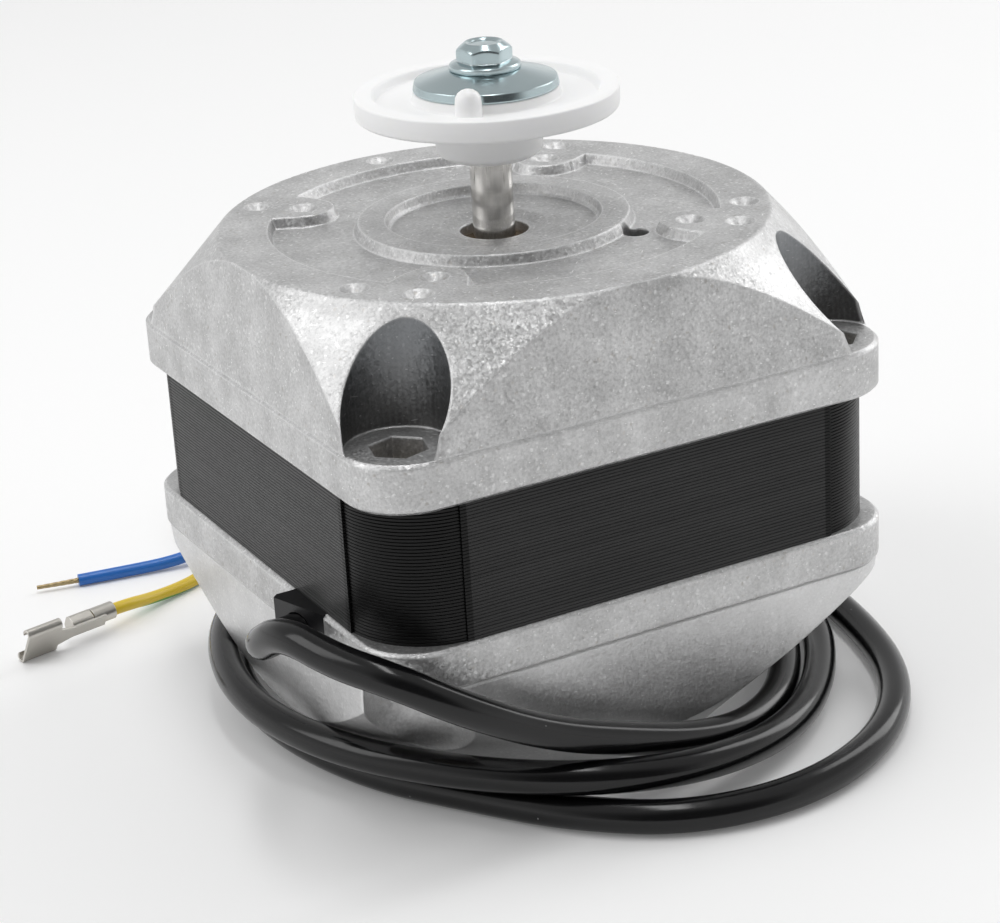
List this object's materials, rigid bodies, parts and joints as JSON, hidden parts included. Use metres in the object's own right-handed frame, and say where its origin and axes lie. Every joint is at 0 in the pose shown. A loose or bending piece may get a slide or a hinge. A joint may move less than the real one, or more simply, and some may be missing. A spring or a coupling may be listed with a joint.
{
  "type": "fan motor",
  "caption": "Square shaded-pole fan motor: cast end shields around a black laminated stack, a shaft with a white fan hub, and a coiled supply cord with bare cores and an earth terminal.",
  "frame": {"origin": "centre of the flat bottom face of the lower end shield", "axes": "+Z along the shaft towards the fan hub; -X is the side with the cord grommet; -X and -Y are the two faces seen in the picture"},
  "size_m": [0.1225, 0.1696, 0.1018],
  "materials": {
    "cast_aluminium": "rough cast, light grey",
    "lamination_steel": "black with fine ridges",
    "zinc_steel": "bluish zinc",
    "shaft_steel": "ground",
    "hub_plastic": "white, satin",
    "cord_rubber": "black, soft gloss",
    "grommet_rubber": "black, matt",
    "blue_insulation": "satin",
    "earth_insulation": "yellow and green, satin",
    "brown_insulation": "satin",
    "bare_copper": "tinned copper strands",
    "tin_plate": "dull tin",
    "bobbin_plastic": "natural",
    "coil_copper": "enamelled wire",
    "felt": "oiled felt",
    "bronze": "sintered",
    "rotor_steel": "laminated"
  },
  "bodies": {
    "housing": {"blue_conductor": "bare_copper", "blue_core": "blue_insulation", "bobbin_1": "bobbin_plastic", "bobbin_2": "bobbin_plastic", "bobbin_3": "bobbin_plastic", "bobbin_4": "bobbin_plastic", "brown_conductor": "bare_copper", "brown_core": "brown_insulation", "coil_1": "coil_copper", "coil_2": "coil_copper", "coil_3": "coil_copper", "coil_4": "coil_copper", "cord_grommet": "grommet_rubber", "corner_screws": "zinc_steel", "earth_core": "earth_insulation", "earth_terminal": "tin_plate", "lower_bearing": "bronze", "lower_bearing_retainer": "zinc_steel", "lower_end_shield": "cast_aluminium", "lower_felt": "felt", "screw_nuts": "zinc_steel", "shading_rings": "coil_copper", "stator_stack": "lamination_steel", "supply_cord": "cord_rubber", "through_screws": "zinc_steel", "upper_bearing": "bronze", "upper_bearing_retainer": "zinc_steel", "upper_end_shield": "cast_aluminium", "upper_felt": "felt"},
    "rotor": {"shaft": "shaft_steel", "rotor_core": "rotor_steel", "rotor_cage": "cast_aluminium", "lower_spacer": "shaft_steel", "upper_spacer": "shaft_steel", "lower_thrust_washer": "bobbin_plastic", "upper_thrust_washer": "bobbin_plastic", "fan_hub": "hub_plastic", "hub_washer": "zinc_steel", "hub_screw": "zinc_steel"}
  },
  "joints": [
    {"name": "rotor_spin", "type": "hinge", "parent": "housing", "child": "rotor", "pos_m": [0, 0, 0.0407], "axis": [0, 0, 1], "continuous": true}
  ]
}
